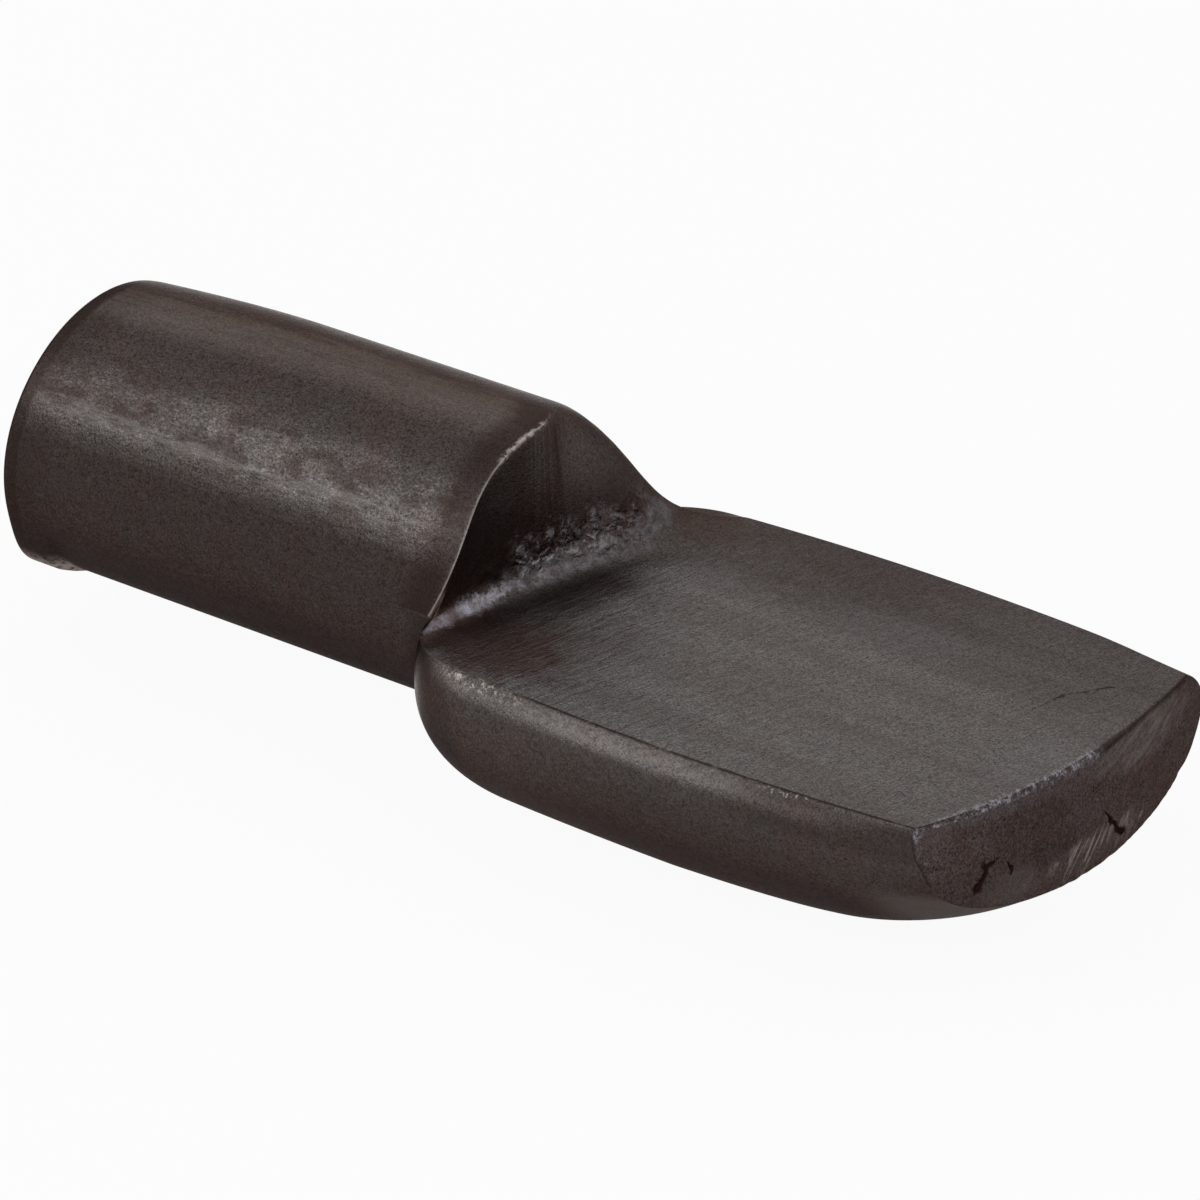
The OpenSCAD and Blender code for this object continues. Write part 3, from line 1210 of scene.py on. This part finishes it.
    def pressed_steel(self):
        ours = self.colours
        coat = Coat("pressed_steel", self.groups)
        (root,) = coat.marks("root")
        skin = coat.plating(ours.dark, ours.warm, ours.cool, 0.6)
        face = coat.plating(ours.pressed, ours.pressed, ours.pressed, 0.65)
        flat = root.ramp(0.1, 1.2)
        coat.colour = mixed(flat, skin["Colour"], face["Colour"])
        self.wall(coat)
        folds = self.root(coat)
        ribs = self.shelf_face(coat, flat)
        self.face_edges(coat)
        height = skin["Height"] + coat.place.grain(5.0, 5, 0.7) * 1.6 + folds + ribs
        return coat.close(height, 0.5, coat.roughness(0.30, 0.40))

    def wall(self, coat):
        """Painted shade, deepest in front and near its foot, with drag marks down its middle,
        greyer behind.
        """
        ours = self.colours
        y = coat.axes[1]
        crest, root = coat.marks("crest", "root")
        wall = root.ramp(0.0, -0.4) * crest.ramp(0.0, 0.15)
        front = wall * y.ramp(1.4, -0.8)
        # Painted shade over the front of the wall
        coat.lay(ours.shade_and_dirt, front * 0.34)
        # Darker towards the wall's rear
        coat.lay(ours.shade_and_dirt, wall * y.ramp(0.9, 1.8) * 0.30)
        redder = wall * coat.spot((1.0, -0.4, 1.2), (1.5, 1.1, 1.0), 1.0)
        coat.lay(ours.stained, redder * 0.35)
        dragged = wall * coat.streaks((0.4, 9.0, 0.4), 0.46)["Mask"]
        coat.lay(ours.pressed, dragged * y.band(-0.9, -0.4, 0.5, 0.9) * 0.30)
        seam = y.band(0.28, 0.40, 0.50, 0.62) * crest.band(0.1, 0.5, 1.2, 1.9)
        coat.lay(ours.shade_and_dirt, seam * wall * 0.45)
        # Painted shade low on the wall, near its foot
        above = root.band(-2.2, -0.9, -0.5, -0.2) * y.band(-2.8, -1.6, 2.0, 3.0)
        coat.lay(ours.shade_and_dirt, above * 0.70)
        mottled = front * coat.place.grain(5.0, 4, 0.75).ramp(0.48, 0.60)
        coat.lay(ours.stained, mottled * 0.22)

    def root(self, coat):
        """Bluish, with a painted highlight that is brightest in front, crumpled in its middle.
        Returns the folds' height.
        """
        ours = self.colours
        place = coat.place
        y = coat.axes[1]
        (root,) = coat.marks("root")
        wavy = root + place.grain(2.4, 6, 0.8).ramp(0.2, 0.8, -0.42, 0.42)
        wavy = wavy + y.ramp(1.4, 3.6, 0.0, 1.0)
        wide = wavy.band(-0.60, -0.25, -0.20, 0.60)
        thin = wavy.band(-0.30, -0.14, -0.02, 0.14)
        # Bluish metal in the root, bright as a painted highlight
        blued_and_sheen = between(y.ramp(0.2, -1.8), wide, thin) * y.ramp(3.7, 3.0)
        share = y.ramp(-0.6, -2.2, 0.48, 1.0) * y.ramp(0.6, 1.6, 1.0, 0.50)
        patchy = place.grain(3.4, 6, 0.85).ramp(0.40, 0.60, 0.25, 1.2)
        coat.lay(ours.blued_and_sheen, blued_and_sheen * share * patchy)
        # A painted highlight at the root's front end
        tip = root.band(-0.24, -0.10, 0.06, 0.20) * y.ramp(-1.6, -2.6)
        coat.lay(ours.bare_and_glint, tip * patchy * 0.8)

        # Painted highlights on the light facets, and painted shade in the dark creases and
        # blotches, of the crumpled middle
        crumple = wavy.band(-1.10, -0.65, -0.2, 0.15) * y.band(-1.4, -0.8, 1.6, 2.9)
        lumps = place.grain(2.4, 4, 0.75, 0.6)
        facets = lumps.ramp(0.46, 0.57) * crumple * y.ramp(0.2, 0.8, 0.75, 0.45)
        coat.lay(ours.blued_and_sheen, facets * 0.65)
        coat.lay(ours.wear_and_sheen, facets * 0.12)
        folds = coat.use("folds", Scale=3.0)
        creased = folds["Creases"] * place.grain(2.6, 4, 0.7).ramp(0.38, 0.52) * crumple
        blotched = lumps.ramp(0.46, 0.40) * crumple * root.ramp(0.0, -0.4)
        creased = larger(creased, blotched * 0.8)
        coat.lay(ours.stained, creased * 0.55)
        coat.lay(ours.shade_and_dirt, creased * 0.38)

        # Painted shade in the dark groove under it
        groove = root.band(0.32, 0.72, 1.15, 1.85) * y.band(-3.0, -0.5, 0.4, 1.3)
        coat.lay(ours.shade_and_dirt, groove * 0.80)
        return folds["Height"] * (crumple * 3.8)

    def shelf_face(self, coat, flat):
        """Streaks across it, red and grey patches. Returns the height of its ribs."""
        ours = self.colours
        x, y, _ = coat.axes
        turned = coat.place.turned(0, 0, 9)
        lines = coat.streaks((7.0, 1.3, 1.0), 0.50, turned)
        coat.lay(ours.dark, flat * lines["Mask"] * x.ramp(12.0, 2.0, 0.14, 0.34))
        flecks = coat.streaks((10.0, 3.0, 2.0), 0.40, turned)
        coat.lay(ours.wear_and_sheen, flat * flecks["Mask"] * x.ramp(13.0, 3.0, 0.03, 0.08))
        swaths = coat.place.vector("MULTIPLY", (0.12, 1.0, 1.0)).grain(0.9)
        swaths = swaths.ramp(0.60, 0.38, 0.0, 0.24) + x.ramp(8.0, 13.0, 0.0, 0.10)
        coat.lay(ours.dark, flat * swaths)
        reds = (
            ((2.3, -3.1, -0.1), (1.9, 1.5, 2.0), 0.66),
            ((3.6, -2.2, -0.1), (1.2, 1.9, 2.0), 0.14),
            ((2.3, 3.5, -0.1), (1.1, 0.9, 2.0), 0.22),
        )
        for centre, size, share in reds:
            coat.lay(ours.stained, coat.spot(centre, size, 0.8) * share)
        # Darker towards the face's rear edge
        rear = flat * y.ramp(0.8, 3.2) * x.ramp(10.5, 6.0, 0.34, 0.48)
        coat.lay(ours.shade_and_dirt, rear)
        cools = (
            ((13.2, -0.8, -0.1), (0.6, 1.4, 2.0), 0.07),
            ((8.0, 2.2, -0.1), (1.6, 1.0, 2.0), 0.05),
            ((3.6, 1.7, -0.1), (1.2, 0.8, 2.0), 0.05),
        )
        for centre, size, share in cools:
            coat.lay(ours.blued_and_sheen, coat.spot(centre, size, 1.0) * share)
        scratches = (
            ((11.95, 1.05, -0.1), (12.05, 1.85, -0.1), 0.05),
            ((12.10, 1.90, -0.1), (12.55, 2.75, -0.1), 0.04),
        )
        for start, end, width in scratches:
            coat.lay(ours.shade_and_dirt, coat.split(start, end, width) * 0.7)
        return lines["Height"] * (flat * 3.6)

    def face_edges(self, coat):
        """The crest's rubbed line, the nose's burr and the dark line of painted shade in the
        flash's thin groove.
        """
        ours = self.colours
        x, y, _ = coat.axes
        crest, edge, nose = coat.marks("crest", "edge", "nose")
        coat.lay(ours.wear_and_sheen, coat.rubbed(crest, 0.035, 0.2) * y.ramp(0.5, 0.0) * 0.6)
        coat.lay(ours.wear_and_sheen, coat.rubbed(crest, 0.08, 0.47) * y.band(-1.6, -1.2, 0.0, 0.4))
        burr = nose.ramp(-0.12, 0.0) * coat.burred()
        coat.lay(ours.bare_and_glint, burr * y.band(-4.3, -3.0, 0.1, 0.8) * 0.75)
        coat.lay(ours.shade_and_dirt, coat.rubbed(nose, 0.06, 0.3) * y.ramp(0.3, 1.0) * 0.8)
        # Painted shade in the thin groove along the flash
        flash = coat.rubbed(edge, 0.05, 0.36) * x.band(3.6, 4.6, 13.0, 13.4)
        coat.lay(ours.shade_and_dirt, flash * y.ramp(0.5, -0.5))

    # -- nose and plug end

    def sheared_steel(self):
        ours = self.colours
        coat = Coat("sheared_steel", self.groups)
        at_nose = coat.axes[0].ramp(-1.0, 1.0)
        flat = coat.place.vector("MULTIPLY", (0.0, 1.0, 1.0))
        skin = coat.plating(ours.sheared, ours.sheared, ours.dark, 0.9)
        coat.colour = skin["Colour"]
        coat.lay(ours.stained, coat.place.grain(1.3, 5, 0.7).ramp(0.45, 0.65, 0.0, 0.35))
        end_face = self.end_face(coat)
        ribs = self.nose_face(coat, flat, at_nose)
        self.nose_edges(coat)
        cracks = self.cracks(coat, flat) * at_nose
        coat.lay(ours.shade_and_dirt, cracks)
        coat.colour = mixed(at_nose, end_face, coat.colour)
        height = skin["Height"] + coat.place.grain(4.0, 6, 0.75) * 4.0
        height = height + ribs - cracks * 9.0
        coat.feed("Metallic", cracks.ramp(0.0, 1.0, METALLIC, 1.0))
        return coat.close(height, 0.6, coat.roughness(0.38, 0.50))

    def end_face(self, coat):
        """The colour of the plug's end, burnished above and drawn out in lines."""
        ours = self.colours
        wavy = coat.place.grain(1.2, 4, 0.7).ramp(0.2, 0.8, -0.9, 0.9)
        burnished = (coat.axes[2] + wavy).ramp(0.5, 1.1)
        drawn = coat.streaks((1.0, 5.0, 0.7), 0.46)["Mask"]
        colour = mixed(burnished * 0.22, coat.colour, rgba(ours.pressed))
        return mixed(drawn * burnished * 0.10, colour, rgba(ours.wear_and_sheen))

    def nose_face(self, coat, flat, at_nose):
        """Smooth, torn and streaked parts of the nose. Returns the height of its ribs."""
        ours = self.colours
        _, y, z = coat.axes
        tears = coat.streaks((1.0, 6.0, 1.0), 0.46, flat.turned(30, 0, 0))
        smears = coat.streaks((1.0, 1.1, 8.0), 0.44, flat.turned(-18, 0, 0))
        red = coat.spot((0, -1.5, -0.8), (1.0, 1.3, 0.8), 0.9, flat)
        coat.lay(ours.shade_and_dirt, red * 0.22)
        torn = coat.spot((0, -1.0, -1.65), (1.0, 1.0, 0.50), 0.7, flat)
        coat.lay(ours.shade_and_dirt, torn * 0.30)
        smooth = coat.spot((0, -2.05, -2.0), (1.0, 0.90, 0.46), 0.3, flat)
        coat.lay(ours.pressed, smooth * 0.24)
        # Painted shade on the lower front of the nose face
        coat.lay(ours.shade_and_dirt, z.ramp(-0.7, -1.7) * y.ramp(-1.4, -2.6) * 0.16)
        middle = coat.spot((0, -0.1, -1.2), (1.0, 0.8, 0.40), 0.5, flat)
        coat.lay(ours.pressed, middle * 0.05)
        ribbed = coat.spot((0, 0.5, -2.12), (1.0, 1.7, 0.44), 0.6, flat)
        coat.lay(ours.pressed, ribbed * 0.10)
        coat.lay(ours.wear_and_sheen, ribbed * tears["Mask"] * 0.46)
        upper = coat.spot((0, 2.2, -0.45), (1.0, 1.9, 0.60), 0.7, flat)
        coat.lay(ours.pressed, upper * 0.26)
        coat.lay(ours.wear_and_sheen, upper * smears["Mask"] * 0.14)
        return tears["Height"] * (ribbed * at_nose * 12.0)

    def nose_edges(self, coat):
        """Burr and dark line along its upper edge, and the crease down its front corner."""
        ours = self.colours
        _, y, z = coat.axes
        nose, edge = coat.marks("nose", "edge")
        violet = nose.band(0.0, 0.15, 0.5, 1.2) * z.ramp(-0.9, -0.3) * y.ramp(1.2, 0.2)
        coat.lay(ours.blued_and_sheen, violet * 0.06)
        burr = nose.ramp(0.28, 0.05) * coat.burred()
        coat.lay(ours.bare_and_glint, burr * z.ramp(-0.5, -0.25) * y.ramp(0.8, 0.2) * 0.75)
        rim = coat.rubbed(nose - y.ramp(2.6, 0.4, 0.0, 0.10), 0.11, 0.3)
        coat.lay(ours.shade_and_dirt, rim * y.ramp(0.2, 0.9) * z.ramp(-0.6, -0.3) * 0.9)
        corner = edge.ramp(1.6, 1.2) * y.ramp(-3.0, -3.6)
        coat.lay(ours.shade_and_dirt, coat.rubbed(nose, 0.07, 0.25) * corner * 0.85)
        coat.lay(ours.wear_and_sheen, coat.rubbed(nose - 0.12, 0.09, 0.55, 13.0) * corner * 0.28)

    def cracks(self, coat, flat):
        """The mask of the nose's cracks: each from one point to another, with its width."""
        cracks = (
            ((0, -2.44, -1.26), (0, -2.70, -1.30), 0.08),
            ((0, -2.66, -1.24), (0, -2.88, -1.76), 0.10),
            ((0, -2.24, -1.42), (0, -2.08, -1.64), 0.05),
            ((0, 0.62, -1.40), (0, 0.90, -1.80), 0.05),
            ((0, 0.86, -1.76), (0, 1.34, -2.16), 0.09),
        )
        masks = [coat.split(start, end, width, flat) for start, end, width in cracks]
        return functools.reduce(larger, masks)


def seen_rays(tree):
    """1 for rays that show the background: camera, glossy and transmission rays."""
    path = node(tree, "ShaderNodeLightPath")
    kinds = ("Is Camera Ray", "Is Glossy Ray", "Is Transmission Ray")
    return functools.reduce(larger, [Wire(tree, path.outputs[kind]) for kind in kinds])


# ---------------------------------------------------------------- operators


class SHELFPIN_OT_form(bpy.types.Operator):
    """Form the pin's skin, with its plug, shoulder, shelf face and nose"""

    bl_idname = "shelf_pin.form"
    bl_label = "Form the pin"

    def execute(self, context):
        shape = context.scene.pin_shape
        piece = new_piece("pin_skin", wrap_skin(shape))
        finish = Finish(context.scene.pin_finish)
        for made in (finish.dark_bronze(), finish.pressed_steel(), finish.sheared_steel()):
            piece.data.materials.append(made)
        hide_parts(PIN_NODE)
        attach(piece, "root")
        return {"FINISHED"}


class SHELFPIN_OT_stage(bpy.types.Operator):
    """Set the pale floor, the soft lamps and the camera"""

    bl_idname = "shelf_pin.stage"
    bl_label = "Set the studio"

    def execute(self, context):
        scene = context.scene
        studio = scene.pin_studio
        self.floor(studio)
        self.lamps(scene, studio)
        self.camera(scene)
        scene.view_settings.view_transform = "Standard"
        return {"FINISHED"}

    def floor(self, studio):
        """A pale floor under the belly, which keeps the pin's shadow."""
        ground = bmesh.new()
        bmesh.ops.create_grid(ground, x_segments=1, y_segments=1, size=FLOOR_HALF)
        bmesh.ops.translate(ground, verts=ground.verts, vec=(0, 0, BELLY_Z * PLUG_R))
        piece = new_piece("floor", ground)
        material = bpy.data.materials.new("pale_floor")
        material.use_nodes = True
        tree = material.node_tree
        tree.nodes.clear()
        paper = wire(tree, "ShaderNodeBsdfDiffuse", {"Color": rgba(studio.floor)})
        white = {"Color": (1, 1, 1, 1), "Strength": 1.0}
        glow = wire(tree, "ShaderNodeEmission", white)
        seen = seen_rays(tree) * FLOOR_SHOWN
        shown = wire(tree, "ShaderNodeMixShader", {0: seen, 1: paper, 2: glow})
        node(tree, "ShaderNodeOutputMaterial", {"Surface": shown})
        piece.data.materials.append(material)

    def lamp(self, name, towards, sizes, power):
        """A soft rectangular lamp that shines on the pin from one direction."""
        lamp = bpy.data.lights.new(name, "AREA")
        lamp.shape = "RECTANGLE"
        lamp.size, lamp.size_y = sizes
        lamp.energy = power
        lamp.color = LAMP_TINT
        holder = bpy.data.objects.new(name, lamp)
        bpy.context.scene.collection.objects.link(holder)
        towards = Vector(towards).normalized()
        holder.location = towards * LAMP_AWAY
        holder.rotation_euler = towards.to_track_quat("Z", "Y").to_euler()

    def lamps(self, scene, studio):
        """Two lamps at the front left, and light from all round."""
        self.lamp("key_lamp", KEY_TOWARDS, KEY_SIZES, studio.key_power)
        self.lamp("strip_lamp", STRIP_TOWARDS, STRIP_SIZES, studio.strip_power)
        world = bpy.data.worlds.new("room")
        scene.world = world
        world.use_nodes = True
        tree = world.node_tree
        tree.nodes.clear()
        # Rays that show the background see plain white, and the others see the room
        level = seen_rays(tree) * (1 - studio.room) + studio.room
        light = wire(tree, "ShaderNodeBackground", {"Color": (1, 1, 1, 1), "Strength": level})
        node(tree, "ShaderNodeOutputWorld", {"Surface": light})

    def camera(self, scene):
        """A long lens from the front right, above the shelf face."""
        camera = bpy.data.cameras.new("camera")
        camera.lens = CAMERA_LENS
        camera.sensor_width = CAMERA_SENSOR
        camera.clip_start = CAMERA_CLIP
        holder = bpy.data.objects.new("camera", camera)
        scene.collection.objects.link(holder)
        holder.location = CAMERA_PLACE
        away = CAMERA_PLACE - CAMERA_AIM
        holder.rotation_euler = away.to_track_quat("Z", "Y").to_euler()
        scene.camera = holder


class SHELFPIN_PT_panel(bpy.types.Panel):
    """Sizes, colours and steps of the shelf pin"""

    bl_idname = "SHELFPIN_PT_panel"
    bl_label = "Shelf pin"
    bl_space_type = "VIEW_3D"
    bl_region_type = "UI"
    bl_category = "Shelf pin"

    def draw(self, context):
        for settings in (
            context.scene.pin_shape,
            context.scene.pin_finish,
            context.scene.pin_studio,
        ):
            box = self.layout.box()
            for name in settings.bl_rna.properties.keys():
                if name not in ("rna_type", "name"):
                    box.prop(settings, name)
        self.layout.operator(SHELFPIN_OT_form.bl_idname)
        self.layout.operator(SHELFPIN_OT_stage.bl_idname)


CLASSES = (
    PinShape,
    PinFinish,
    PinStudio,
    SHELFPIN_OT_form,
    SHELFPIN_OT_stage,
    SHELFPIN_PT_panel,
)


def register():
    for each in CLASSES:
        bpy.utils.register_class(each)
    bpy.types.Scene.pin_shape = bpy.props.PointerProperty(type=PinShape)
    bpy.types.Scene.pin_finish = bpy.props.PointerProperty(type=PinFinish)
    bpy.types.Scene.pin_studio = bpy.props.PointerProperty(type=PinStudio)


def unregister():
    del bpy.types.Scene.pin_studio
    del bpy.types.Scene.pin_finish
    del bpy.types.Scene.pin_shape
    for each in reversed(CLASSES):
        bpy.utils.unregister_class(each)


def main():
    register()
    bpy.ops.shelf_pin.form()
    bpy.ops.shelf_pin.stage()


if __name__ == "__main__":
    main()
